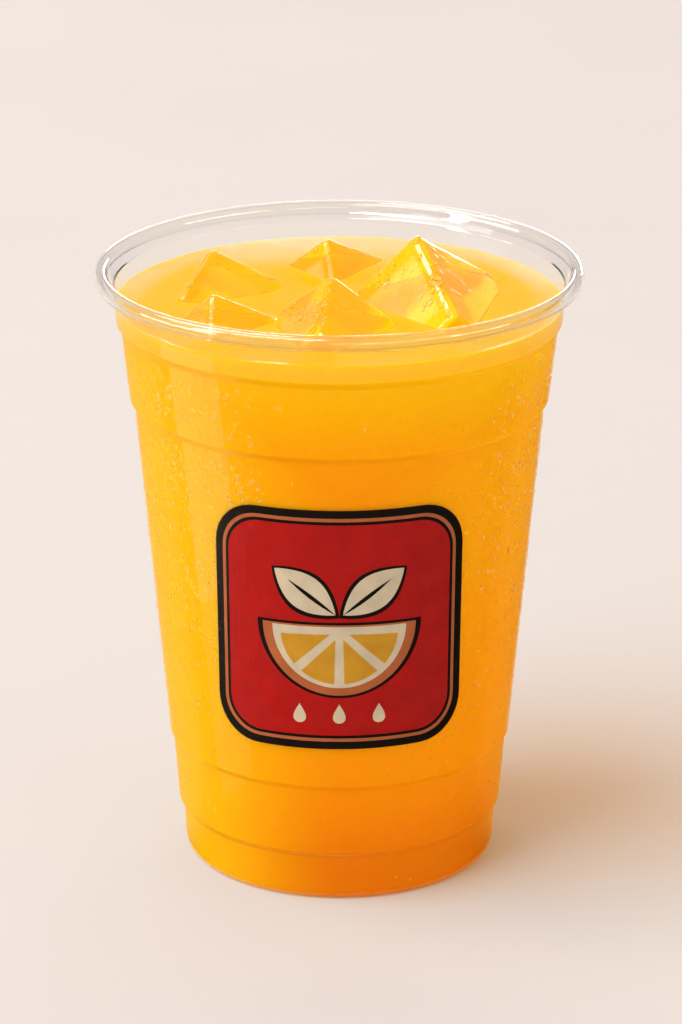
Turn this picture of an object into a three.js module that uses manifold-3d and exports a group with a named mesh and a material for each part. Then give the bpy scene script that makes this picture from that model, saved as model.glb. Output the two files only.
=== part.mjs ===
import * as THREE from "three";
import { RoundedBoxGeometry } from "three/addons/geometries/RoundedBoxGeometry.js";
import { mergeVertices } from "three/addons/utils/BufferGeometryUtils.js";
import Module from "manifold-3d";

// A clear plastic tumbler of iced orange juice, in millimetres.
// +Z is up, the foot stands on z = 0 and the print side of the wall faces -Y.

const wasm = await Module();
wasm.setup();

// The tumbler is formed from one sheet of even thickness.
const sheet = 0.5;
const facets = 56;

// Underside: a narrow ring to stand on, and a raised middle.
const footRadius = 32.0;
const footRounding = 1.8;
const standInner = 26.5;
const raisedRadius = 23.5;
const raisedHeight = 3.0;

// Wall: each step is a sloped ledge that starts at height z on outside radius r and runs out by "out".
const ledgeLean = THREE.MathUtils.degToRad(38);
const ledgeRounding = 0.7;
const steps = [
  { z: 9.6, r: 32.4, out: 1.0 },
  { z: 25.3, r: 34.45, out: 0.75 },
  { z: 97.0, r: 41.45, out: 0.9 },
  { z: 112.9, r: 43.85, out: 0.95 },
];
const bandTop = { z: 121.2, r: 45.4 };

// Rim: the sheet flares and rolls outwards into an oval curl.
const rimRadius = 49.0;
const curlHalfWidth = 1.3;
const curlHalfHeight = 1.6;
const curlHeight = 123.2;
const curlEnd = THREE.MathUtils.degToRad(-128);
const curlPoints = 8;

// Drink: its level, and the clearance left between neighbouring pieces.
const juiceLevel = 117.4;
const clearance = 0.3;

// Ice: "top" is the uppermost corner before rounding, "turn" are degrees about X, Y and Z,
// and "size" are the three edges that run down from that corner.
const iceRounding = 1.9;
const iceBlocks = [
  { name: "ice_right", top: [15.1, -1.6, 132.3], turn: [119, 18, -135], size: [22, 24, 25] },
  { name: "ice_left", top: [-26.0, 12.5, 125.5], turn: [149, 64, 147], size: [18, 18, 17] },
  { name: "ice_front_left", top: [-24.8, -19.4, 125.6], turn: [130, -1, -125], size: [14, 16, 16] },
  { name: "ice_front", top: [-1.2, -20.7, 129.6], turn: [119, -7, -133], size: [17, 18, 18] },
  { name: "ice_back", top: [-2.6, 19.5, 125.6], turn: [132, 9, -134], size: [18, 20, 15] },
];

// Replaces each corner of an open path by two points on an arc of about the corner's own rounding.
function softened(path) {
  const out = [];
  path.forEach((corner, i) => {
    const here = new THREE.Vector2(corner.r, corner.z);
    if (!corner.round || i === 0 || i === path.length - 1) {
      out.push(here);
      return;
    }
    const back = new THREE.Vector2(path[i - 1].r, path[i - 1].z).sub(here);
    const ahead = new THREE.Vector2(path[i + 1].r, path[i + 1].z).sub(here);
    const turn = Math.PI - Math.abs(back.angleTo(ahead));
    const trim = Math.min(corner.round * Math.tan(turn / 2), 0.45 * back.length(), 0.45 * ahead.length());
    const from = here.clone().addScaledVector(back.normalize(), trim);
    const to = here.clone().addScaledVector(ahead.normalize(), trim);
    const bend = new THREE.QuadraticBezierCurve(from, here, to);
    out.push(...bend.getPoints(turn > 1 ? 4 : 1));
  });
  return out;
}

// Moves an open path sideways by a distance, to the left of its direction when positive.
function besides(path, distance) {
  return path.map((point, i) => {
    const into = point.clone().sub(path[Math.max(i - 1, 0)]);
    const onward = path[Math.min(i + 1, path.length - 1)].clone().sub(point);
    const first = (into.length() ? into : onward).clone().normalize();
    const second = (onward.length() ? onward : into).clone().normalize();
    const along = first.clone().add(second).normalize();
    const reach = distance / along.dot(first);
    return new THREE.Vector2(point.x - along.y * reach, point.y + along.x * reach);
  });
}

// Middle line of the sheet, from the axis under the drink out to the foot, up the wall and round the curl.
function sheetLine() {
  const half = sheet / 2;
  const path = [
    { r: 0, z: raisedHeight + half },
    { r: raisedRadius, z: raisedHeight + half, round: 1 },
    { r: standInner, z: half, round: 1 },
    { r: footRadius - half, z: half, round: footRounding },
  ];
  for (const step of steps) {
    const rise = step.out / Math.tan(ledgeLean);
    path.push({ r: step.r - half, z: step.z, round: ledgeRounding });
    path.push({ r: step.r + step.out - half, z: step.z + rise, round: ledgeRounding });
  }
  path.push({ r: bandTop.r - half, z: bandTop.z, round: 2 });
  const centre = rimRadius - curlHalfWidth;
  const curl = new THREE.EllipseCurve(
    centre,
    curlHeight,
    curlHalfWidth - half,
    curlHalfHeight - half,
    Math.PI,
    curlEnd,
    true,
  );
  const rolled = curl.getPoints(curlPoints);
  path.push({ r: rolled[0].x, z: rolled[0].y });
  return softened(path).concat(rolled.slice(1));
}

// A closed solid turned about Z from a profile that starts and ends on the axis.
function turned(profile) {
  return new THREE.LatheGeometry(profile, facets).rotateX(Math.PI / 2);
}

function cupGeometry() {
  const line = sheetLine();
  const outside = besides(line, -sheet / 2);
  const inside = besides(line, sheet / 2);
  return turned(outside.concat(inside.reverse()));
}

// The drink follows the inside of the sheet, a clearance away, up to its level.
function juiceGeometry() {
  const inner = besides(sheetLine(), sheet / 2 + clearance);
  const profile = [];
  for (const [i, point] of inner.entries()) {
    if (point.y > juiceLevel && profile.length > 6) {
      const below = inner[i - 1];
      const share = (juiceLevel - below.y) / (point.y - below.y);
      profile.push(below.clone().lerp(point, share));
      break;
    }
    profile.push(point);
  }
  profile.push(new THREE.Vector2(0, juiceLevel));
  return turned(profile);
}

// A rounded block hung from its uppermost corner, grown all round by an allowance.
function iceGeometry(block, allowance) {
  const [a, b, c] = block.size;
  const turn = new THREE.Euler(...block.turn.map(THREE.MathUtils.degToRad));
  const round = iceRounding + allowance;
  const grown = 2 * allowance;
  return new RoundedBoxGeometry(a + grown, b + grown, c + grown, 2, round)
    .translate(a / 2, b / 2, c / 2)
    .applyMatrix4(new THREE.Matrix4().makeRotationFromEuler(turn))
    .translate(...block.top);
}

function toSolid(geometry) {
  const bare = geometry.clone();
  bare.deleteAttribute("normal");
  bare.deleteAttribute("uv");
  const merged = mergeVertices(bare, 1e-4);
  const index = merged.index.array;
  const kept = [];
  for (let i = 0; i < index.length; i += 3) {
    const [a, b, c] = index.subarray(i, i + 3);
    if (a !== b && b !== c && c !== a) kept.push(a, b, c);
  }
  return new wasm.Manifold(
    new wasm.Mesh({
      numProp: 3,
      vertProperties: merged.attributes.position.array,
      triVerts: new Uint32Array(kept),
    }),
  );
}

function fromSolid(solid) {
  const mesh = solid.getMesh();
  const geometry = new THREE.BufferGeometry();
  geometry.setAttribute("position", new THREE.BufferAttribute(mesh.vertProperties, 3));
  geometry.setIndex(new THREE.BufferAttribute(mesh.triVerts, 1));
  geometry.computeVertexNormals();
  return geometry;
}

const group = new THREE.Group();

function add(name, geometry, look) {
  const mesh = new THREE.Mesh(geometry, new THREE.MeshStandardMaterial(look));
  mesh.name = name;
  group.add(mesh);
}

add("cup", cupGeometry(), {
  color: 0xf3f5f6,
  roughness: 0.06,
  transparent: true,
  opacity: 0.25,
});

let juice = toSolid(juiceGeometry());
for (const block of iceBlocks) {
  juice = juice.subtract(toSolid(iceGeometry(block, clearance)));
}
add("juice", fromSolid(juice), { color: 0xffa60a, roughness: 0.15 });

for (const block of iceBlocks) {
  add(block.name, iceGeometry(block, 0), {
    color: 0xffe2a0,
    roughness: 0.12,
    transparent: true,
    opacity: 0.6,
  });
}

export default group;
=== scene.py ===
import math

import bmesh
import bpy
from mathutils import Euler, Matrix, Vector, noise


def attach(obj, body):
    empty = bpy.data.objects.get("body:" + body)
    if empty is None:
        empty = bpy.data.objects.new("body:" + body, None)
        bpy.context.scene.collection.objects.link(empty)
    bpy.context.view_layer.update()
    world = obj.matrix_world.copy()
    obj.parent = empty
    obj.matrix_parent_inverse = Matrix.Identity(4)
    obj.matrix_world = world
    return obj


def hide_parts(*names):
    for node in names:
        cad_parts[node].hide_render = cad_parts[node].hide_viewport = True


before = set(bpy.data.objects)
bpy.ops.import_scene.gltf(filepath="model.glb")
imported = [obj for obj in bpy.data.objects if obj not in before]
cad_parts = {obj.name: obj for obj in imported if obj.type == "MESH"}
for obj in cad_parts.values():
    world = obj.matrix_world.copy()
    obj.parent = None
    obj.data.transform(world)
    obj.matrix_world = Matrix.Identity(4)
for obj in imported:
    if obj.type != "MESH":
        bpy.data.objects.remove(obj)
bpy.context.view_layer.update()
mm = 0.001  # sizes below are in millimetres, as the solids are


# small helpers

def paint(red, green, blue):
    # a picked screen colour, 0 to 255, as the linear colour that sockets take
    def linear(value):
        share = value / 255
        return share / 12.92 if share <= 0.04045 else ((share + 0.055) / 1.055) ** 2.4

    return (linear(red), linear(green), linear(blue), 1.0)


def darkened(colour, share):
    return tuple(share * c for c in colour[:3]) + (1.0,)


def clamped(value):
    return min(max(value, 0.0), 1.0)


def ramp(value, start, end):
    return clamped((value - start) / (end - start))


def placeObject(name, data):
    placed = bpy.data.objects.new(name, data)
    bpy.context.scene.collection.objects.link(placed)
    return placed


def placeMesh(name, points, faces):
    mesh = bpy.data.meshes.new(name)
    mesh.from_pydata([tuple(mm * x for x in p) for p in points], [], faces)
    mesh.shade_smooth()
    return placeObject(name, mesh)


def creaseEdges(mesh, sharpest=50):
    # keeps the shading apart where faces fold by more than this many degrees
    bm = bmesh.new()
    bm.from_mesh(mesh)
    for edge in bm.edges:
        edge.smooth = edge.calc_face_angle(0.0) < math.radians(sharpest)
    bm.to_mesh(mesh)
    bm.free()


def setShare(mesh, name, shares):
    attribute = mesh.attributes.new(name, "FLOAT", "POINT")
    attribute.data.foreach_set("value", shares)


def freeze(piece):
    # the evaluated mesh takes the place of the live one, and the modifiers go
    depsgraph = bpy.context.evaluated_depsgraph_get()
    mesh = bpy.data.meshes.new_from_object(piece.evaluated_get(depsgraph))
    piece.modifiers.clear()
    piece.data = mesh
    mesh.name = piece.name


def handOver(piece, slot, *nodes):
    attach(piece, "root")
    if nodes:
        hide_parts(*nodes)


def addNode(tree, kind, inputs=None, **settings):
    node = tree.nodes.new(kind)
    for key, value in settings.items():
        setattr(node, key, value)
    for socket, value in (inputs or {}).items():
        if isinstance(value, bpy.types.NodeSocket):
            tree.links.new(value, node.inputs[socket])
        else:
            node.inputs[socket].default_value = value
    return node


def blankMaterial(name):
    material = bpy.data.materials.new(name)
    material.use_nodes = True
    material.node_tree.nodes.clear()
    return material, material.node_tree


def showShader(tree, shader):
    addNode(tree, "ShaderNodeOutputMaterial", {"Surface": shader})


def lightPasses(tree, shader, lampStain, bounceStain):
    # lamp light and bounced light go on through clear or cloudy things, stained on their way
    path = addNode(tree, "ShaderNodeLightPath")
    for ray, stain in (("Is Shadow Ray", lampStain), ("Is Diffuse Ray", bounceStain)):
        clear = addNode(tree, "ShaderNodeBsdfTransparent", {"Color": stain})
        shader = addNode(tree, "ShaderNodeMixShader", {
            0: path.outputs[ray],
            1: shader,
            2: clear.outputs[0],
        }).outputs[0]
    return shader


# one shader group that the finishes share, and short forms of common nodes

def makeMottleGroup():
    # cloudy value between Low and High, in object space
    group = bpy.data.node_groups.new("Mottle", "ShaderNodeTree")
    for name, start in (("Scale", 100.0), ("Detail", 3.0), ("Low", 0.0), ("High", 1.0)):
        socket = group.interface.new_socket(name, in_out="INPUT", socket_type="NodeSocketFloat")
        socket.default_value = start
    group.interface.new_socket("Value", in_out="OUTPUT", socket_type="NodeSocketFloat")
    start = addNode(group, "NodeGroupInput")
    where = addNode(group, "ShaderNodeTexCoord")
    cloud = addNode(group, "ShaderNodeTexNoise", {
        "Vector": where.outputs["Object"],
        "Scale": start.outputs["Scale"],
        "Detail": start.outputs["Detail"],
    })
    spread = addNode(group, "ShaderNodeMapRange", {
        "Value": cloud.outputs["Fac"],
        "From Min": 0.3,  # the noise seldom leaves this range
        "From Max": 0.7,
        "To Min": start.outputs["Low"],
        "To Max": start.outputs["High"],
    })
    addNode(group, "NodeGroupOutput", {"Value": spread.outputs["Result"]})
    return group


mottleGroup = makeMottleGroup()


def mottle(tree, scale, low, high, detail=3.0):
    return addNode(tree, "ShaderNodeGroup", {
        "Scale": scale,
        "Detail": detail,
        "Low": low,
        "High": high,
    }, node_tree=mottleGroup).outputs["Value"]


def mixColours(tree, share, first, second):
    # a mix node has its colours on sockets 6 and 7
    return addNode(tree, "ShaderNodeMix", {0: share, 6: first, 7: second}, data_type="RGBA").outputs[2]


def ranged(tree, value, fromLow, fromHigh, low=0.0, high=1.0):
    return addNode(tree, "ShaderNodeMapRange", {
        "Value": value,
        "From Min": fromLow,
        "From Max": fromHigh,
        "To Min": low,
        "To Max": high,
    }, interpolation_type="SMOOTHSTEP").outputs["Result"]


def joined(tree, operation, first, second):
    return addNode(tree, "ShaderNodeMath", {0: first, 1: second}, operation=operation).outputs[0]


def objectPlace(tree):
    return addNode(tree, "ShaderNodeTexCoord").outputs["Object"]


def splitAxes(tree, place):
    return addNode(tree, "ShaderNodeSeparateXYZ", {0: place}).outputs


def bumped(tree, height, strength, distance):
    return addNode(tree, "ShaderNodeBump", {
        "Height": height,
        "Strength": strength,
        "Distance": distance,
    }).outputs["Normal"]


# the tumbler: one thin sheet turned about the axis

tumbler = {
    "sheet": 0.5,
    "turns": 192,
    "cornerSteps": 5,
    "cornerShare": 0.42,  # most of a straight that one rounding takes
    "guardShare": 0.15,
    "footRadius": 32.0,
    "footRounding": 1.8,
    "standInner": 26.5,
    "raisedRadius": 23.5,
    "raisedHeight": 3.0,
    "raisedRounding": 1.0,
    "ledgeLean": 38.0,
    "ledgeRounding": 0.7,
    # each step: height, outside radius below it, and how far it runs out
    "steps": ((9.6, 32.4, 1.0), (25.3, 34.45, 0.75), (97.0, 41.45, 0.9), (112.9, 43.85, 0.95)),
    "bandTop": (121.2, 45.4),
    "bandRounding": 2.0,
    "rimRadius": 49.0,
    "curlHalfWidth": 1.3,
    "curlHalfHeight": 1.6,
    "curlHeight": 123.2,
    "curlEnd": -128.0,
    "curlSteps": 26,
    "lipShare": 0.15,
    "lipSteps": 6,
    "colour": paint(252, 251, 249),
    "stain": (0.98, 0.98, 0.98, 1.0),
    # below the drink's level, above it, and on the rim: how much light bends, and how much coat there is
    "finishes": (("clear wall", 1.45, 0.0), ("clear band", 1.15, 0.2), ("clear rim", 1.05, 1.0)),
}
drinkLevel = 117.4


def softened(path):
    # rounds each corner (radius, height, rounding) and keeps the straights flat with a guard point
    line = []
    for i, corner in enumerate(path):
        here = Vector(corner[:2])
        if not corner[2]:
            line.append(here)
            continue
        back = Vector(path[i - 1][:2]) - here
        ahead = Vector(path[i + 1][:2]) - here
        turn = math.pi - back.angle(ahead)
        room = tumbler["cornerShare"]
        trim = min(corner[2] * math.tan(turn / 2), room * back.length, room * ahead.length)
        start = here + back.normalized() * trim
        end = here + ahead.normalized() * trim
        line.append(start + back.normalized() * trim * tumbler["guardShare"])
        for k in range(tumbler["cornerSteps"] + 1):
            t = k / tumbler["cornerSteps"]
            line.append(start * (1 - t) ** 2 + here * 2 * t * (1 - t) + end * t * t)
        line.append(end + ahead.normalized() * trim * tumbler["guardShare"])
    return line


def beside(line, distance):
    # a line moved sideways; the sheet thins out over the last few points of the roll
    moved = []
    last = len(line) - 1
    for i, point in enumerate(line):
        into = point - line[i - 1] if i else line[1] - point
        onward = line[i + 1] - point if i < last else into
        along = (into.normalized() + onward.normalized()).normalized()
        thinned = min(1.0, tumbler["lipShare"] + (last - i) / tumbler["lipSteps"])
        reach = distance * thinned / along.dot(into.normalized())
        moved.append(Vector((point.x - along.y * reach, point.y + along.x * reach)))
    return moved


def ledgeRise(out):
    return out / math.tan(math.radians(tumbler["ledgeLean"]))


def sheetLine():
    # middle of the sheet, from the axis under the drink to the end of the rolled rim
    half = tumbler["sheet"] / 2
    raised = tumbler["raisedHeight"] + half
    path = [
        (0, raised, 0),
        (tumbler["raisedRadius"], raised, tumbler["raisedRounding"]),
        (tumbler["standInner"], half, tumbler["raisedRounding"]),
        (tumbler["footRadius"] - half, half, tumbler["footRounding"]),
    ]
    for height, radius, out in tumbler["steps"]:
        path.append((radius - half, height, tumbler["ledgeRounding"]))
        path.append((radius + out - half, height + ledgeRise(out), tumbler["ledgeRounding"]))
    below = path[-1]
    topHeight, topRadius = tumbler["bandTop"]
    share = (drinkLevel - below[1]) / (topHeight - below[1])
    path.append((below[0] + share * (topRadius - half - below[0]), drinkLevel, 0))
    path.append((topRadius - half, topHeight, tumbler["bandRounding"]))
    curl = []
    finish = math.radians(tumbler["curlEnd"])
    for k in range(tumbler["curlSteps"] + 1):
        angle = math.pi + (finish - math.pi) * k / tumbler["curlSteps"]
        curl.append(Vector((
            tumbler["rimRadius"] - tumbler["curlHalfWidth"]
            + (tumbler["curlHalfWidth"] - half) * math.cos(angle),
            tumbler["curlHeight"] + (tumbler["curlHalfHeight"] - half) * math.sin(angle),
        )))
    path.append((curl[0].x, curl[0].y, 0))
    return softened(path) + curl[1:]


def turnedMesh(profile):
    # points and faces of a profile turned about the axis; a point on the axis stays single
    turns = tumbler["turns"]
    onAxis = 1e-6
    points, rings, faces = [], [], []
    for radius, height in profile:
        if radius < onAxis:
            rings.append([len(points)] * turns)
            points.append((0, 0, height))
            continue
        rings.append(list(range(len(points), len(points) + turns)))
        for j in range(turns):
            angle = 2 * math.pi * j / turns
            points.append((radius * math.cos(angle), radius * math.sin(angle), height))
    for low, high in zip(rings, rings[1:]):
        for j in range(turns):
            k = (j + 1) % turns
            corners = dict.fromkeys((low[j], low[k], high[k], high[j]))
            faces.append(tuple(corners))
    return points, faces


def turnedPiece(name, profile):
    piece = placeMesh(name, *turnedMesh(profile))
    creaseEdges(piece.data)
    return piece


def clearPlasticMaterial(name, bend, coat):
    material, tree = blankMaterial(name)
    plastic = addNode(tree, "ShaderNodeBsdfPrincipled", {
        "Base Color": tumbler["colour"],
        "Roughness": mottle(tree, 60, 0.015, 0.045),
        "IOR": bend,
        "Transmission Weight": 1.0,
        "Coat Weight": coat,
        "Coat Roughness": 0.03,
        "Coat IOR": 1.45,
        "Normal": bumped(tree, mottle(tree, 45, 0.0, 1.0, 1.0), 0.08, 0.0004),
    })
    showShader(tree, lightPasses(tree, plastic.outputs[0], tumbler["stain"], tumbler["stain"]))
    return material


def makeTumbler():
    line = sheetLine()
    half = tumbler["sheet"] / 2
    outside = beside(line, -half)
    inside = beside(line, half)
    outside[0].x = inside[0].x = 0
    piece = turnedPiece("tumbler", outside + inside[::-1])
    for name, bend, coat in tumbler["finishes"]:
        piece.data.materials.append(clearPlasticMaterial(name, bend, coat))
    for face in piece.data.polygons:
        height = face.center.z / mm
        face.material_index = int(height > drinkLevel) + int(height > tumbler["bandTop"][0])
    handOver(piece, "cup", "cup")
    print("tumbler:", len(piece.data.polygons), "faces")


# the ice: rounded, slightly melted blocks hung from their top corners

ice = {
    "rounding": 1.9,
    "cells": 30,
    "crowding": 0.62,
    "meltDepth": 0.16,
    "meltScale": 0.28,
    "dimpleDepth": 0.06,
    "dimpleScale": 1.1,
    # the hollow that a block leaves in the drink
    "pitInset": 0.3,
    "pitCells": 10,
    # golden at the edges, and pale on the faces with frost and painted sheen
    "edgeColour": (1.0, 0.6, 0.002, 1.0),
    "faceColour": (1.0, 0.92, 0.85, 1.0),
    # clear borders round the pale middle of a face, partly frost and partly painted sheen: beside the hidden
    # far side, and beside the others
    "farBorder": 2.6,
    "farTurn": -0.5,
    "nearBorder": 0.5,
    "borderFade": 0.8,
    "frostAndSheenSide": Vector((-0.62, -0.6, 0.5)),
    "stain": (1.0, 0.98, 0.9, 1.0),
}
# top corner, turns about X, Y and Z, edges that run down from the corner, and how much frost and painted
# sheen there is
iceBlocks = {
    "ice_right": dict(top=(15.1, -1.6, 132.3), turn=(119, 18, -135), size=(22, 24, 25), frostAndSheen=1.0),
    "ice_left": dict(top=(-26.0, 12.5, 125.5), turn=(149, 64, 147), size=(18, 18, 17), frostAndSheen=0.6),
    "ice_front_left": dict(top=(-24.8, -19.4, 125.6), turn=(130, -1, -125), size=(14, 16, 16), frostAndSheen=0.9),
    "ice_front": dict(top=(-1.2, -20.7, 129.6), turn=(119, -7, -133), size=(17, 18, 18), frostAndSheen=0.45),
    "ice_back": dict(top=(-2.6, 19.5, 125.6), turn=(132, 9, -134), size=(18, 20, 15), frostAndSheen=1.0),
}


def blockTurn(block):
    return Euler([math.radians(a) for a in block["turn"]], "ZYX").to_matrix()


def blockCentre(block):
    return Vector(block["top"]) + blockTurn(block) @ (Vector(block["size"]) / 2)


def roundedBlock(block, inset, cells, melted):
    # points, faces and frost of one block, drawn in all round by an inset
    half = Vector(block["size"]) / 2 - Vector((inset, inset, inset))
    rounding = ice["rounding"] - inset
    core = half - Vector((rounding, rounding, rounding))
    turn, centre = blockTurn(block), blockCentre(block)
    borders = [ice["farBorder"] if turn[1][k] < ice["farTurn"] else ice["nearBorder"] for k in range(3)]
    bm = bmesh.new()
    bmesh.ops.create_cube(bm, size=2)
    bmesh.ops.subdivide_edges(bm, edges=bm.edges[:], cuts=cells - 1, use_grid_fill=True)
    points, frostAndSheenShares = [], []
    for vertex in bm.verts:
        # rows crowd together towards the edges, where the rounding is
        spread = [x + ice["crowding"] * math.sin(math.pi * x) / math.pi for x in vertex.co]
        corner = Vector(s * h for s, h in zip(spread, half))
        inner = Vector(max(-c, min(c, x)) for c, x in zip(core, corner))
        outward = (corner - inner).normalized()
        point = centre + turn @ (inner + outward * rounding)
        if melted:
            broad = 0.5 + 0.5 * noise.noise(point * ice["meltScale"])
            fine = 0.5 + 0.5 * noise.noise(point * ice["dimpleScale"])
            point -= (turn @ outward) * (ice["meltDepth"] * broad + ice["dimpleDepth"] * fine)
        points.append(point)
        # how far in from its borders, on the flat of a face paled by frost and painted sheen; faces turned
        # towards the lamps at the front left pale most
        inside = sorted(c - abs(x) - b for c, x, b in zip(core, corner, borders))[1]
        flat = clamped(inside / ice["borderFade"])
        turned = clamped((turn @ outward).dot(ice["frostAndSheenSide"]))
        frostAndSheenShares.append(block["frostAndSheen"] * flat * turned ** 2)
    faces = [tuple(v.index for v in face.verts) for face in bm.faces]
    bm.free()
    return points, faces, frostAndSheenShares


def iceMaterial():
    material, tree = blankMaterial("wet ice")
    settled = addNode(tree, "ShaderNodeAttribute", attribute_name="frostAndSheenShare")
    frostAndSheen = joined(tree, "MULTIPLY", settled.outputs["Fac"], mottle(tree, 210, 0.5, 1.0, 4.0))
    wet = addNode(tree, "ShaderNodeBsdfPrincipled", {
        "Base Color": mixColours(tree, frostAndSheen, ice["edgeColour"], ice["faceColour"]),
        "Roughness": mottle(tree, 180, 0.02, 0.09),
        "IOR": 1.31,
        "Transmission Weight": 0.87,
        "Coat Weight": 0.2,
        "Coat Roughness": 0.03,
        "Coat IOR": 1.5,
        "Normal": bumped(tree, mottle(tree, 420, 0.0, 1.0), 0.17, 0.0004),
    })
    showShader(tree, lightPasses(tree, wet.outputs[0], ice["stain"], ice["stain"]))
    return material


def makeIce():
    finish = iceMaterial()
    made = []
    for node, block in iceBlocks.items():
        points, faces, frostAndSheenShares = roundedBlock(block, 0.0, ice["cells"], True)
        piece = placeMesh(node + "_melted", points, faces)
        setShare(piece.data, "frostAndSheenShare", frostAndSheenShares)
        piece.data.materials.append(finish)
        handOver(piece, "ice", node)
        made.append(piece)
    print("ice:", len(made), "blocks")
    return made


def iceGap(point):
    # distance to the nearest block before melting, below zero inside it
    gaps = []
    for block in iceBlocks.values():
        local = blockTurn(block).transposed() @ (point - blockCentre(block))
        over = Vector(
            abs(x) - (size / 2 - ice["rounding"]) for x, size in zip(local, block["size"])
        )
        outer = Vector(max(x, 0.0) for x in over).length
        gaps.append(outer + min(max(over), 0.0) - ice["rounding"])
    return min(gaps)


# the drink: reaches just into the wall and into the ice, so that no air shows between them

drink = {
    "reach": 0.15,
    "topRings": 56,
    "iceLift": 0.2,
    "wallLift": 0.35,
    "liftReach": 0.9,
    "ripple": 0.07,
    "rippleScale": 0.13,
    "upper": paint(255, 189, 1),
    "lower": paint(255, 152, 1),
    # painted shade: the deeper orange that the side takes towards the foot
    "paintedShadeDeep": paint(230, 122, 1),
    # painted light: a yellower drink for the hollows under the ice
    "paintedLightPit": paint(255, 222, 6),
    "cream": paint(255, 226, 175),
    "fleck": paint(255, 205, 50),
    # painted light on its side: where it turns yellower, in metres: near the top, to the left, and to the
    # right above the foot
    "paintedLightTop": (0.088, 0.117),
    "paintedLightLeft": (0.002, -0.032),
    "paintedLightRight": (0.002, 0.034),
    "rightShare": 0.45,
    "paintedLightRightHeights": (0.03, 0.1),
    # the deeper orange towards the foot is painted shade
    "paintedShadeLow": (0.002, 0.034),  # and where it deepens towards the foot
    # pulp: cells per metre, and where a fleck ends in its cell
    "fleckScale": 330.0,
    "fleckEdge": (0.13, 0.05),
    # where its surface pales, partly froth and partly painted reflection, in metres: radius, from front to
    # back, and at the far wall
    "frothAndSheenRing": (0.037, 0.0435),
    "frothAndSheenDepth": (-0.012, 0.02),
    "frothAndSheenShare": 0.7,
    "frothAndSheenFar": (0.02, 0.043),
    # painted glow: the drink under the ice and its surface give off light, though they are no lamp
    "paintedPitGlow": 0.36,
    "paintedTopGlow": 0.09,
    # what lamp light and bounced light keep on their way through the side
    "lampStain": (0.7, 0.4, 0.06, 1.0),
    "bounceStain": (0.95, 0.66, 0.2, 1.0),
    # the same for the surface and the hollows under the ice
    "topStain": (0.97, 0.9, 0.6, 1.0),
    "pitStain": (0.99, 0.96, 0.85, 1.0),
    "bend": 1.34,
    "scatter": {
        "Subsurface Weight": 0.6,
        "Subsurface Radius": (1.0, 0.42, 0.06),
        "Subsurface Scale": 0.006,
    },
}


def atLevel(height, slack=0.01):
    return abs(height - drinkLevel) < slack


def drinkProfile():
    inner = beside(sheetLine(), tumbler["sheet"] / 2 - drink["reach"])
    inner[0].x = 0
    profile = []
    for point in inner:
        profile.append(point)
        if atLevel(point.y, slack=0.05):
            break
    edge = profile[-1].x
    profile[-1].y = drinkLevel
    for k in range(1, drink["topRings"] + 1):
        profile.append(Vector((edge * (1 - k / drink["topRings"]), drinkLevel)))
    return profile


def cutRoundIce(piece):
    points, faces = [], []
    for block in iceBlocks.values():
        more, fresh, _ = roundedBlock(block, ice["pitInset"], ice["pitCells"], False)
        faces += [tuple(i + len(points) for i in face) for face in fresh]
        points += more
    cutter = placeMesh("cutter", points, faces)
    cut = piece.modifiers.new("round the ice", "BOOLEAN")
    cut.operation = "DIFFERENCE"
    cut.solver = "EXACT"
    cut.object = cutter
    freeze(piece)
    bpy.data.objects.remove(cutter)


def liftSurface(piece, edgeRadius):
    # the surface climbs a little where it meets the ice and the wall, and ripples between
    step = 0.05
    nearIce = 0.05
    clearOfWall = 0.5
    leastSlope = 0.2
    for vertex in piece.data.vertices:
        point = vertex.co / mm
        if not atLevel(point.z):
            continue
        fromIce = max(iceGap(point) + ice["pitInset"], 0.0)
        fromWall = max(edgeRadius - Vector(point[:2]).length, 0.0)
        near = math.exp(-fromIce / drink["liftReach"])
        lift = drink["iceLift"] * near + drink["wallLift"] * math.exp(-fromWall / drink["liftReach"])
        lift += drink["ripple"] * noise.noise(point * drink["rippleScale"])
        point.z += lift
        if near > nearIce and fromWall > clearOfWall:
            # the edge moves along with the slope of the ice, so that it stays as far inside the block
            gap = iceGap(point)
            slope = Vector((
                (iceGap(point + Vector((step, 0, 0))) - gap) / step,
                (iceGap(point + Vector((0, step, 0))) - gap) / step,
                0,
            ))
            if slope.length > leastSlope:
                away = gap + ice["pitInset"] - fromIce
                point -= slope * (near * away / slope.length_squared)
        vertex.co = point * mm


def juiceColourWithPaintedLight(tree):
    # painted light and shade: yellower where the light comes in, at the top, on the left and on the right
    # above the foot, and more orange below, with painted shade deepest towards the foot
    place = objectPlace(tree)
    axes = splitAxes(tree, place)
    top = ranged(tree, axes["Z"], *drink["paintedLightTop"])
    left = ranged(tree, axes["X"], *drink["paintedLightLeft"])
    right = ranged(tree, axes["X"], *drink["paintedLightRight"], 0.0, drink["rightShare"])
    lit = joined(tree, "MULTIPLY", right, ranged(tree, axes["Z"], *drink["paintedLightRightHeights"]))
    share = joined(tree, "MAXIMUM", joined(tree, "MAXIMUM", top, left), lit)
    low = ranged(tree, axes["Z"], *drink["paintedShadeLow"])
    body = mixColours(tree, low, drink["paintedShadeDeep"], drink["lower"])
    body = mixColours(tree, share, body, drink["upper"])
    specks = addNode(tree, "ShaderNodeTexVoronoi", {"Vector": place, "Scale": drink["fleckScale"]})
    fleck = ranged(tree, specks.outputs["Distance"], *drink["fleckEdge"])
    thin = joined(tree, "MULTIPLY", fleck, mottle(tree, 90, 0.0, 0.4))
    return mixColours(tree, thin, body, drink["fleck"])


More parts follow.
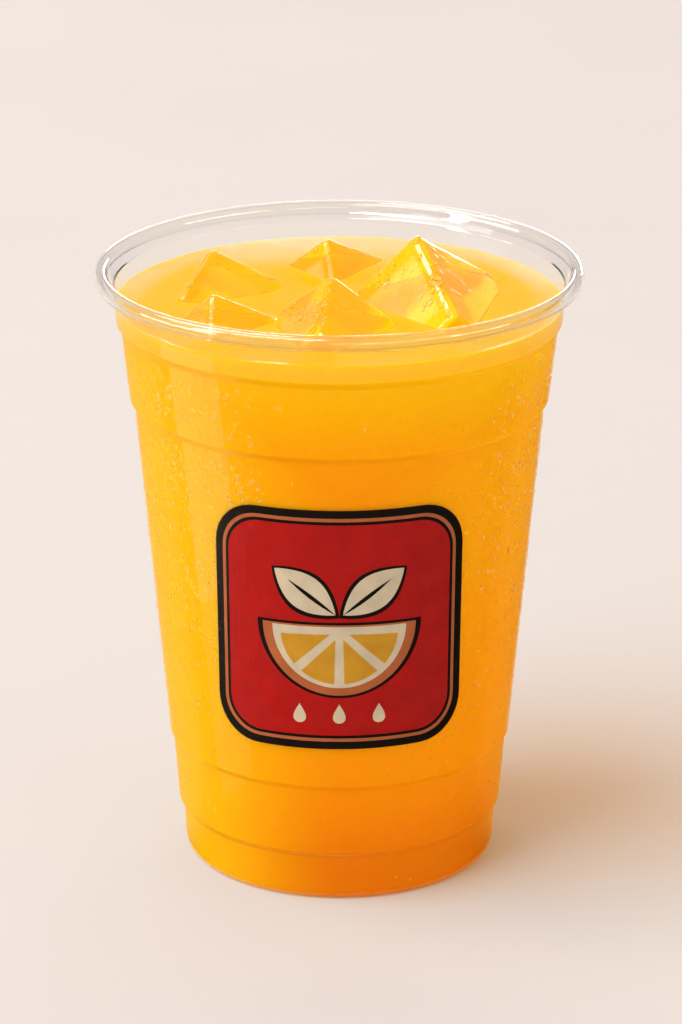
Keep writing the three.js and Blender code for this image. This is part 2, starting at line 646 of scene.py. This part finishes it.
def cloudyJuiceMaterial():
    material, tree = blankMaterial("cloudy juice")
    cloudy = addNode(tree, "ShaderNodeBsdfPrincipled", {
        "Base Color": juiceColourWithPaintedLight(tree),
        "Roughness": mottle(tree, 120, 0.3, 0.45),
        "IOR": drink["bend"],
        "Specular IOR Level": 0.1,
        **drink["scatter"],
    })
    showShader(tree, lightPasses(tree, cloudy.outputs[0], drink["lampStain"], drink["bounceStain"]))
    return material


def juicePitMaterial():
    # the drink seen through the ice, with a painted glow and a yellower colour that stand in for the light
    # that the drink scatters
    material, tree = blankMaterial("juice under ice")
    colour = mixColours(tree, mottle(tree, 150, 0.0, 0.4), drink["paintedLightPit"], drink["upper"])
    cloudy = addNode(tree, "ShaderNodeBsdfPrincipled", {
        "Base Color": colour,
        "Roughness": mottle(tree, 120, 0.4, 0.6),
        "IOR": drink["bend"],
        "Specular IOR Level": 0.1,
        "Emission Color": colour,
        "Emission Strength": drink["paintedPitGlow"],
    })
    showShader(tree, lightPasses(tree, cloudy.outputs[0], drink["pitStain"], drink["pitStain"]))
    return material


def juiceTopMaterial():
    # paler towards the wall behind the ice, partly froth and partly painted reflection, with a faint painted
    # glow
    material, tree = blankMaterial("juice surface")
    axes = splitAxes(tree, objectPlace(tree))
    flat = addNode(tree, "ShaderNodeCombineXYZ", {"X": axes["X"], "Y": axes["Y"]})
    radius = addNode(tree, "ShaderNodeVectorMath", {0: flat.outputs[0]}, operation="LENGTH")
    ring = ranged(tree, radius.outputs["Value"], *drink["frothAndSheenRing"])
    behind = ranged(tree, axes["Y"], *drink["frothAndSheenDepth"], 0.0, drink["frothAndSheenShare"])
    edge = joined(tree, "MULTIPLY", ring, behind)
    far = ranged(tree, axes["Y"], *drink["frothAndSheenFar"])
    frothAndSheen = joined(tree, "MULTIPLY", joined(tree, "MAXIMUM", edge, far), mottle(tree, 70, 0.4, 1.0))
    swirl = joined(tree, "ADD", frothAndSheen, mottle(tree, 110, 0.0, 0.06))
    colour = mixColours(tree, swirl, drink["upper"], drink["cream"])
    wet = addNode(tree, "ShaderNodeBsdfPrincipled", {
        "Base Color": colour,
        "Emission Color": colour,
        "Emission Strength": drink["paintedTopGlow"],
        "Roughness": mottle(tree, 90, 0.08, 0.2),
        "IOR": drink["bend"],
        "Specular IOR Level": 0.05,
        "Normal": bumped(tree, mottle(tree, 160, 0.0, 1.0), 0.15, 0.0005),
        **drink["scatter"],
    })
    showShader(tree, lightPasses(tree, wet.outputs[0], drink["topStain"], drink["topStain"]))
    return material


def makeDrink():
    profile = drinkProfile()
    piece = turnedPiece("drink", profile)
    cutRoundIce(piece)
    mesh = piece.data
    bm = bmesh.new()
    bm.from_mesh(mesh)
    bmesh.ops.triangulate(bm, faces=[f for f in bm.faces if len(f.verts) > 4])
    bm.to_mesh(mesh)
    bm.free()
    creaseEdges(mesh)
    mesh.materials.clear()
    for finish in (cloudyJuiceMaterial(), juiceTopMaterial(), juicePitMaterial()):
        mesh.materials.append(finish)
    onSide, onTop, inPit = 0, 1, 2
    facingUp = 0.9
    for face in mesh.polygons:
        middle = face.center / mm
        if face.normal.z > facingUp and atLevel(middle.z):
            face.material_index = onTop
        else:
            face.material_index = inPit if iceGap(middle) < 0.0 else onSide
        face.use_smooth = True
    liftSurface(piece, max(p.x for p in profile))
    handOver(piece, "juice", "juice")
    print("drink:", len(mesh.polygons), "faces")


# the print: flat fields of colour wrapped on the wall

printed = {
    "middle": 61.0,
    "scale": 0.93,
    "lift": 0.02,
    "layer": 0.02,
    "stripe": 1.5,
    "stripeShift": 0.01,  # keeps the cuts off the corners of the outlines
    "wear": 0.72,
    "inks": {
        "dark": paint(33, 24, 16),
        "red": paint(202, 22, 16),
        "copper": paint(205, 112, 64),
        "cream": paint(238, 220, 186),
        "gold": paint(232, 168, 44),
    },
}


def wallRadius(height):
    # outside of the wall between its second and third steps
    (lowHeight, lowRadius, out), (highHeight, highRadius, _) = tumbler["steps"][1:3]
    start = lowHeight + ledgeRise(out)
    share = (height - start) / (highHeight - start)
    return lowRadius + out + share * (highRadius - lowRadius - out)


def arcPoints(centre, radius, first, last, count):
    points = []
    for k in range(count + 1):
        angle = math.radians(first + (last - first) * k / count)
        points.append((centre[0] + radius * math.cos(angle), centre[1] + radius * math.sin(angle)))
    return points


def tileOutline(halfSize, rounding):
    inner = halfSize - rounding
    points = []
    for x, y, first in ((1, -1, -90), (1, 1, 0), (-1, 1, 90), (-1, -1, 180)):
        points += arcPoints((x * inner, y * inner), rounding, first, first + 90, count=10)
    return points


def sliceOutline(centre, radius):
    return arcPoints(centre, radius, 180, 360, count=40)


def segmentOutline(centre, inner, outer, first, last):
    middle = math.radians((first + last) / 2)
    tip = (centre[0] + inner * math.cos(middle), centre[1] + inner * math.sin(middle))
    return [tip] + arcPoints(centre, outer, first, last, count=10)


def leafOutline(root, length, width, lean):
    along = Vector((math.cos(math.radians(lean)), math.sin(math.radians(lean))))
    across = Vector((-along.y, along.x))
    count = 24
    fullness = 0.9
    there = [(k, 1) for k in range(count + 1)]
    backAgain = [(k, -1) for k in range(count - 1, 0, -1)]
    points = []
    for k, side in there + backAgain:
        t = k / count
        bulge = side * math.sin(math.pi * t) ** fullness
        points.append(tuple(Vector(root) + along * length * t + across * width * bulge))
    return points


def dropOutline(tip, length, width):
    count = 32
    taper = 1.4
    points = []
    for k in range(count):
        t = 2 * math.pi * k / count
        points.append((
            tip[0] + width * math.sin(t) * math.sin(t / 2) ** taper,
            tip[1] - length * (1 - math.cos(t)) / 2,
        ))
    return points


def printShapes():
    # layer of ink, colour and outline: the tile, half a slice with its segments, two leaves, three drops
    shapes = [
        (0, "dark", tileOutline(28.0, 10.0)),
        (1, "copper", tileOutline(26.2, 8.6)),
        (2, "dark", tileOutline(25.4, 8.0)),
        (3, "red", tileOutline(24.7, 7.5)),
        (4, "dark", sliceOutline((0.0, 2.1), 17.8)),
        (5, "copper", sliceOutline((0.0, 1.5), 16.6)),
        (6, "cream", sliceOutline((0.0, 1.1), 14.4)),
    ]
    span, gap = 45, 5
    for first in range(180, 360, span):
        segment = segmentOutline((0.0, 0.2), 2.2, 12.6, first + gap, first + span - gap)
        shapes.append((7, "gold", segment))
    for side in (1, -1):
        lean = 90 - side * 52  # degrees from level
        shapes.append((4, "dark", leafOutline((0.0, 3.2), 18.4, 4.9, lean)))
        shapes.append((5, "cream", leafOutline((side * 0.8, 3.9), 16.6, 4.0, lean)))
        shapes.append((6, "dark", leafOutline((side * 0.8, 3.9), 13.0, 0.45, lean)))
    for x in (-8.5, 0.0, 8.5):
        shapes.append((4, "cream", dropOutline((x, -17.2), 4.6, 1.9)))
    return shapes


def inkMaterial(name, colour):
    material, tree = blankMaterial(name)
    worn = darkened(colour, printed["wear"])
    ink = addNode(tree, "ShaderNodeBsdfPrincipled", {
        "Base Color": mixColours(tree, mottle(tree, 240, 0.0, 0.55, 4.0), colour, worn),
        "Roughness": mottle(tree, 300, 0.28, 0.42),
        "Specular IOR Level": 0.15,
    })
    showShader(tree, ink.outputs[0])
    return material


def inkSheet(layer, outline):
    # one outline as a thin sheet, cut into upright stripes and bent round the wall
    flat = bmesh.new()
    drawn = [(printed["scale"] * x, printed["scale"] * y, 0) for x, y in outline]
    flat.faces.new([flat.verts.new(point) for point in drawn])
    stripes = int(max(abs(point[0]) for point in drawn) / printed["stripe"])
    for k in range(-stripes, stripes + 1):
        bmesh.ops.bisect_plane(
            flat,
            geom=flat.verts[:] + flat.edges[:] + flat.faces[:],
            plane_co=(k * printed["stripe"] + printed["stripeShift"], 0, 0),
            plane_no=(1, 0, 0),
        )
    grown = bmesh.ops.extrude_face_region(flat, geom=flat.faces[:], use_keep_orig=True)
    for item in grown["geom"]:
        if isinstance(item, bmesh.types.BMVert):
            item.co.z = printed["layer"]
    bmesh.ops.recalc_face_normals(flat, faces=flat.faces[:])
    base = printed["lift"] + printed["layer"] * layer
    for vertex in flat.verts:
        height = printed["middle"] + vertex.co.y
        radius = wallRadius(height)
        angle = vertex.co.x / radius
        out = radius + base + vertex.co.z
        vertex.co = Vector((out * math.sin(angle), -out * math.cos(angle), height)) * mm
    return flat


def makePrint():
    inks = list(printed["inks"])
    bm = bmesh.new()
    for layer, ink, outline in printShapes():
        sheet = inkSheet(layer, outline)
        for face in sheet.faces:
            face.material_index = inks.index(ink)
        mesh = bpy.data.meshes.new("shape")
        sheet.to_mesh(mesh)
        sheet.free()
        bm.from_mesh(mesh)
        bpy.data.meshes.remove(mesh)
    mesh = bpy.data.meshes.new("print")
    bm.to_mesh(mesh)
    bm.free()
    for ink, colour in printed["inks"].items():
        mesh.materials.append(inkMaterial(ink + " ink", colour))
    piece = placeObject("print", mesh)
    handOver(piece, "cup")
    print("print:", len(mesh.polygons), "faces")
    return piece


# dew on the wall and wet beads on the ice, by one node tree

dew = {
    # inputs of the tree: most drops per square metre, distance apart, radii, height as a share of the radius
    "mist": {
        "Most": 2200000.0, "Apart": 0.34 * mm, "Smallest": 0.14 * mm, "Largest": 0.36 * mm,
        "Flatness": 0.24, "Sides": 5, "Rings": 3, "Seed": 7,
    },
    "drops": {
        "Most": 2200000.0, "Apart": 0.42 * mm, "Smallest": 0.17 * mm, "Largest": 0.52 * mm,
        "Flatness": 0.36, "Sides": 7, "Rings": 4, "Seed": 9,
    },
    "beads": {
        "Most": 1500000.0, "Apart": 0.5 * mm, "Smallest": 0.2 * mm, "Largest": 0.75 * mm,
        "Flatness": 0.36, "Sides": 8, "Rings": 5, "Seed": 11,
    },
    "rarity": 3.2,  # the higher, the fewer drops are large
    "longest": 1.6,
    "lengthSeed": 3,
    # bare strip at each step, and the wall that takes dew, as heights from the steps and the rim
    "bareBelow": -0.8,
    "bareAbove": 2.2,
    "fromFootStep": -6,
    "fromRim": -1,
    "rowHeight": 2,
    # how wet a place is: angles in degrees from the front, heights above the floor or the drink
    "mistCover": 0.3,
    "mistLeast": (0.3, 0.2),  # in front, and at the foot
    "mistAngles": (12, 47),
    "mistHeights": (4, 94),
    "dropCover": 0.55,
    "leftStart": (20, 30),
    "leftEnd": (56, 70),
    "rightStart": (40, 56),
    "rightEnd": (80, 92),
    "rightShare": 0.7,
    "sideLoss": 0.75,
    "dropHeights": (30, 90),
    "beadHeights": (1.5, 3.5),
    "beadFacing": (0.6, 0.8),
}


def makeDropTree():
    tree = bpy.data.node_groups.new("Clinging drops", "GeometryNodeTree")
    face = tree.interface
    face.new_socket("Geometry", in_out="INPUT", socket_type="NodeSocketGeometry")
    for name in ("Most", "Apart", "Smallest", "Largest", "Flatness"):
        face.new_socket(name, in_out="INPUT", socket_type="NodeSocketFloat")
    for name in ("Seed", "Sides", "Rings"):
        face.new_socket(name, in_out="INPUT", socket_type="NodeSocketInt")
    face.new_socket("Finish", in_out="INPUT", socket_type="NodeSocketMaterial")
    face.new_socket("Geometry", in_out="OUTPUT", socket_type="NodeSocketGeometry")
    start = addNode(tree, "NodeGroupInput")
    share = addNode(tree, "GeometryNodeInputNamedAttribute", {"Name": "wetShare"}, data_type="FLOAT")
    spread = addNode(tree, "GeometryNodeDistributePointsOnFaces", {
        "Mesh": start.outputs["Geometry"],
        "Distance Min": start.outputs["Apart"],
        "Density Max": start.outputs["Most"],
        "Density Factor": share.outputs["Attribute"],
        "Seed": start.outputs["Seed"],
    }, distribute_method="POISSON")
    # random value nodes have their float range on sockets 2 and 3, and the float on output 1
    draw = addNode(tree, "FunctionNodeRandomValue", {"Seed": start.outputs["Seed"]}, data_type="FLOAT")
    size = addNode(tree, "ShaderNodeMapRange", {
        "Value": joined(tree, "POWER", draw.outputs[1], dew["rarity"]),
        "To Min": start.outputs["Smallest"],
        "To Max": start.outputs["Largest"],
    }).outputs[0]
    drawn = addNode(tree, "FunctionNodeRandomValue", {
        2: 1.0,
        3: dew["longest"],
        "Seed": dew["lengthSeed"],
    }, data_type="FLOAT")
    scale = addNode(tree, "ShaderNodeCombineXYZ", {
        "X": size,
        "Y": joined(tree, "MULTIPLY", size, drawn.outputs[1]),
        "Z": joined(tree, "MULTIPLY", size, start.outputs["Flatness"]),
    })
    upright = addNode(tree, "FunctionNodeAlignRotationToVector", {
        "Rotation": spread.outputs["Rotation"],
        "Vector": (0.0, 0.0, 1.0),
    }, axis="Y", pivot_axis="Z")
    bead = addNode(tree, "GeometryNodeMeshUVSphere", {
        "Segments": start.outputs["Sides"],
        "Rings": start.outputs["Rings"],
        "Radius": 1.0,
    })
    placed = addNode(tree, "GeometryNodeInstanceOnPoints", {
        "Points": spread.outputs["Points"],
        "Instance": bead.outputs["Mesh"],
        "Rotation": upright.outputs["Rotation"],
        "Scale": scale.outputs[0],
    })
    real = addNode(tree, "GeometryNodeRealizeInstances", {"Geometry": placed.outputs[0]})
    smooth = addNode(tree, "GeometryNodeSetShadeSmooth", {"Geometry": real.outputs[0]})
    finish = addNode(tree, "GeometryNodeSetMaterial", {
        "Geometry": smooth.outputs[0],
        "Material": start.outputs["Finish"],
    })
    addNode(tree, "NodeGroupOutput", {"Geometry": finish.outputs[0]})
    return tree


def waterMaterial():
    material, tree = blankMaterial("water beads")
    water = addNode(tree, "ShaderNodeBsdfPrincipled", {
        "Base Color": (1.0, 1.0, 1.0, 1.0),
        "Roughness": mottle(tree, 500, 0.0, 0.04),
        "IOR": 1.22,
        "Transmission Weight": 1.0,
    })
    showShader(tree, water.outputs[0])
    return material


def scatterDrops(host, tree, kind, water):
    values = dict(dew[kind], Finish=water)
    modifier = host.modifiers.new("drops", "NODES")
    modifier.node_group = tree
    for item in tree.interface.items_tree:
        if item.in_out == "INPUT" and item.name in values:
            modifier[item.identifier] = values[item.name]
    freeze(host)
    # drops this small shade nothing, so lamp light and bounced light go past them
    host.visible_shadow = False
    host.visible_diffuse = False
    print(kind + ":", len(host.data.polygons), "faces")


def patchy(point, middle, depth, scale):
    # an uneven share, as dew comes in patches
    return clamped(middle + depth * noise.noise(point * scale))


def offLedges(height):
    gaps = [height - step[0] for step in tumbler["steps"]]
    return float(all(not dew["bareBelow"] < gap < dew["bareAbove"] for gap in gaps))


def mistShare(point):
    # fine mist all over, thinner in front and towards the foot
    angle = abs(math.degrees(math.atan2(point.x, -point.y)))
    front, foot = dew["mistLeast"]
    side = front + (1 - front) * ramp(angle, *dew["mistAngles"])
    height = foot + (1 - foot) * ramp(point.z / mm, *dew["mistHeights"])
    patch = patchy(point, middle=0.7, depth=0.9, scale=60)
    return dew["mistCover"] * side * height * patch * offLedges(point.z / mm)


def dropShare(point):
    # larger drops gather at the front corners of the upper wall
    angle = math.degrees(math.atan2(point.x, -point.y))
    onLeft = ramp(-angle, *dew["leftStart"]) * (1 - dew["sideLoss"] * ramp(-angle, *dew["leftEnd"]))
    onRight = ramp(angle, *dew["rightStart"]) * (1 - dew["sideLoss"] * ramp(angle, *dew["rightEnd"]))
    corner = onLeft + dew["rightShare"] * onRight
    height = ramp(point.z / mm, *dew["dropHeights"])
    patch = patchy(point, middle=0.8, depth=0.8, scale=80)
    return dew["dropCover"] * corner * height * patch * offLedges(point.z / mm)


def beadShare(point, normal):
    # beads sit on the sides of the ice that carry frost and painted sheen, clear of the drink
    above = ramp(point.z / mm - drinkLevel, *dew["beadHeights"])
    frosted = ramp(normal.dot(ice["frostAndSheenSide"]), *dew["beadFacing"])
    return above * frosted * patchy(point, middle=0.5, depth=1.4, scale=130)


def wallSkin(name):
    # the outside of the wall, from above the foot's edge to below the rim, as a host for drops
    outside = beside(sheetLine(), -tumbler["sheet"] / 2)
    topHeight, topRadius = tumbler["bandTop"]
    low = tumbler["steps"][0][0] + dew["fromFootStep"]
    high = topHeight + dew["fromRim"]
    wall = [p for p in outside if low < p.y < high and p.x < topRadius + 1]
    dense = []
    for a, b in zip(wall, wall[1:]):
        count = max(int((b - a).length / dew["rowHeight"]), 1)
        dense += [a.lerp(b, k / count) for k in range(count)]
    return placeMesh(name, *turnedMesh(dense))


def makeDew(tree, water, kind, share):
    host = wallSkin("dew_" + kind)
    setShare(host.data, "wetShare", [share(v.co) for v in host.data.vertices])
    scatterDrops(host, tree, kind, water)
    handOver(host, "cup")


def makeBeads(tree, water, blocks):
    points, faces, shares = [], [], []
    for piece in blocks:
        offset = len(points)
        points += [v.co / mm for v in piece.data.vertices]
        shares += [beadShare(v.co, v.normal) for v in piece.data.vertices]
        faces += [tuple(i + offset for i in f.vertices) for f in piece.data.polygons]
    host = placeMesh("ice_beads", points, faces)
    setShare(host.data, "wetShare", shares)
    scatterDrops(host, tree, "beads", water)
    handOver(host, "ice")


makeTumbler()
icePieces = makeIce()
makeDrink()
printPiece = makePrint()
dropTree = makeDropTree()
waterFinish = waterMaterial()
makeDew(dropTree, waterFinish, "mist", mistShare)
makeDew(dropTree, waterFinish, "drops", dropShare)
makeBeads(dropTree, waterFinish, icePieces)


# floor, room and light

studio = {
    "floorRadius": 4.0,
    "floorDrop": 0.05,
    "floorColour": paint(251, 241, 235),
    "floorWear": 0.97,
    "world": paint(252, 247, 243),
    "worldStrength": 0.27,
    "mirroredStrength": 0.45,
}


def makeFloor():
    material, tree = blankMaterial("paper floor")
    pale = studio["floorColour"]
    dim = darkened(pale, studio["floorWear"])
    paper = addNode(tree, "ShaderNodeBsdfPrincipled", {
        "Base Color": mixColours(tree, mottle(tree, 6, 0.0, 1.0), pale, dim),
        "Roughness": 0.9,
        "Specular IOR Level": 0.2,
    })
    showShader(tree, paper.outputs[0])
    bm = bmesh.new()
    bmesh.ops.create_circle(bm, cap_ends=True, radius=studio["floorRadius"], segments=96)
    mesh = bpy.data.meshes.new("floor")
    bm.to_mesh(mesh)
    bm.free()
    mesh.transform(Matrix.Translation((0, 0, -studio["floorDrop"] * mm)))
    mesh.materials.append(material)
    floor = placeObject("floor", mesh)
    return floor


def makeWorld():
    # the room is brighter in reflections and through clear things, as pale walls beyond would be
    world = bpy.data.worlds.new("soft room")
    world.use_nodes = True
    tree = world.node_tree
    path = addNode(tree, "ShaderNodeLightPath")
    mirrored = joined(tree, "MAXIMUM", path.outputs["Is Glossy Ray"], path.outputs["Is Transmission Ray"])
    back = tree.nodes["Background"]
    back.inputs["Color"].default_value = studio["world"]
    strength = ranged(tree, mirrored, 0.0, 1.0, studio["worldStrength"], studio["mirroredStrength"])
    tree.links.new(strength, back.inputs["Strength"])
    bpy.context.scene.world = world


# a screen close round the wall, met by reflections alone: dark in front, so that the drink keeps its
# depth, and glowing at its two ends in about the drink's own colour there

screen = {
    "inner": 33.0,
    "radius": 75.0,
    "bottom": 0.2,
    "height": 104.0,
    "arc": (125, 415),
    "columns": 33,
    "left": (0.95, 0.58, 0.18, 1.0),
    "right": (0.74, 0.35, 0.05, 1.0),
    # in metres: where it fades out at the top and behind, goes from left to right, and begins to glow
    "topFade": (0.091, 0.104),
    "backFade": (0.045, 0.0614),
    "across": (-0.03, 0.03),
    "glowFrom": (-0.017, 0.007),
}


def screenMaterial():
    material, tree = blankMaterial("dark screen")
    material.cycles.emission_sampling = "NONE"
    axes = splitAxes(tree, objectPlace(tree))
    high = ranged(tree, axes["Z"], *screen["topFade"])
    behind = ranged(tree, axes["Y"], *screen["backFade"])
    side = ranged(tree, axes["X"], *screen["across"])
    cloth = addNode(tree, "ShaderNodeEmission", {
        "Color": mixColours(tree, side, screen["left"], screen["right"]),
        "Strength": ranged(tree, axes["Y"], *screen["glowFrom"]),
    })
    clear = addNode(tree, "ShaderNodeBsdfTransparent")
    veil = addNode(tree, "ShaderNodeMixShader", {
        0: joined(tree, "MAXIMUM", high, behind),
        1: cloth.outputs[0],
        2: clear.outputs[0],
    })
    showShader(tree, veil.outputs[0])
    return material


def makeScreen():
    rings = (
        (screen["inner"], screen["bottom"]),
        (screen["radius"], screen["bottom"]),
        (screen["radius"], screen["height"]),
    )
    columns = screen["columns"]
    points, faces = [], []
    for radius, height in rings:
        points += [(x, y, height) for x, y in arcPoints((0, 0), radius, *screen["arc"], columns - 1)]
    for i in range(len(rings) - 1):
        for j in range(columns - 1):
            near, far = i * columns + j, (i + 1) * columns + j
            faces.append((near, near + 1, far + 1, far))
    flag = placeMesh("flag", points, faces)
    flag.data.materials.append(screenMaterial())
    flag.visible_camera = False
    flag.visible_diffuse = False
    flag.visible_transmission = False
    flag.visible_shadow = False


lamps = {
    "colour": (1.0, 0.98, 0.96),
    "aim": (0.0, 0.0, 0.07),
    # name, place, width and height in metres, and watts
    "window": ("window", (-3.0, -1.3, 4.6), (5.0, 5.0), 292.0),
    "wash": ("back wash", (0.0, 2.4, 2.4), (3.0, 1.0), 13.0),
    "washAim": (0.0, 1.0, 0.0),
    # fills stand for light that the drink scatters inside, which the print and the floor don't take
    "fills": (
        ("front fill", (0.6, -2.4, 0.25), (1.5, 0.4), 12.0),
        ("left fill", (-2.4, -0.7, 0.3), (1.5, 0.4), 13.0),
        ("right fill", (2.4, -1.0, 0.25), (1.5, 0.4), 24.0),
        ("back fill", (0.3, 2.4, 0.3), (1.5, 0.4), 16.0),
    ),
    # small panes for highlights alone, on the rim, the ice and the dew
    "sparkles": (
        ("top sparkle", (-0.8, 0.3, 1.6), (0.5, 1.2), 32.0),
        ("low left sparkle", (-1.9, -0.35, 0.32), (1.6, 0.3), 26.0),
        ("low right sparkle", (1.4, -1.4, 0.4), (0.8, 0.3), 6.0),
        ("front sparkle", (-0.9, -1.4, 1.7), (1.6, 0.35), 35.0),
        ("left sparkle", (-1.6, -0.7, 0.9), (0.35, 1.0), 20.0),
    ),
    # two panes close by, one above the other, that show as bands on the wall: heights and glow
    "panes": (("left pane", 48, 112, 0.78), ("left low pane", 2, 48, 0.28)),
    "panePlace": (-55, -36),
    "paneWidth": 26,
}


def areaLight(name, place, size, power, target=lamps["aim"], reflectedOnly=False):
    light = bpy.data.lights.new(name, "AREA")
    light.shape = "RECTANGLE"
    light.size, light.size_y = size
    light.energy = power
    light.color = lamps["colour"]
    lamp = placeObject(name, light)
    lamp.location = place
    aim = Vector(target) - Vector(place)
    lamp.rotation_euler = aim.to_track_quat("-Z", "Y").to_euler()
    lamp.visible_camera = False
    lamp.visible_transmission = False
    if reflectedOnly:
        lamp.visible_diffuse = False
    return lamp


def spare(lights, pieces):
    # the lights reach everything but these pieces
    spared = bpy.data.collections.new("spared")
    for piece in pieces:
        spared.objects.link(piece)
    for entry in spared.collection_objects:
        entry.light_linking.link_state = "EXCLUDE"
    for light in lights:
        light.light_linking.receiver_collection = spared


def makeLights(unfilled):
    areaLight(*lamps["window"])
    areaLight(*lamps["wash"], target=lamps["washAim"])
    spare([areaLight(*row) for row in lamps["fills"]], unfilled)
    for row in lamps["sparkles"]:
        areaLight(*row, reflectedOnly=True)
    x, y = (mm * value for value in lamps["panePlace"])
    width = lamps["paneWidth"] * mm
    for name, bottom, top, glow in lamps["panes"]:
        z, height = (bottom + top) / 2 * mm, (top - bottom) * mm
        power = glow * math.pi * width * height
        areaLight(name, (x, y, z), (width, height), power, target=(0, y, z), reflectedOnly=True)


# the camera, fitted to the outlines of the rim, the wall and the foot

view = {
    "sensor": 36.0,
    "lens": 144.6,
    "nearest": 0.01,
    "place": (0.00034, -0.78984, 0.35811),
    "down": 19.902,  # degrees below level
}


def makeCamera():
    camera = bpy.data.cameras.new("camera")
    camera.sensor_width = view["sensor"]
    camera.lens = view["lens"]
    camera.clip_start = view["nearest"]
    seat = placeObject("camera", camera)
    seat.location = view["place"]
    seat.rotation_euler = (math.radians(90 - view["down"]), 0, 0)
    bpy.context.scene.camera = seat


def setLook():
    scene = bpy.context.scene
    scene.view_settings.view_transform = "Standard"
    scene.cycles.use_denoising = True
    scene.cycles.transparent_max_bounces = 24
    scene.cycles.max_bounces = 12
    scene.cycles.glossy_bounces = 8
    scene.cycles.adaptive_threshold = 0.06


floorPiece = makeFloor()
makeWorld()
makeScreen()
makeLights((printPiece, floorPiece))
makeCamera()
setLook()
print("studio ready")
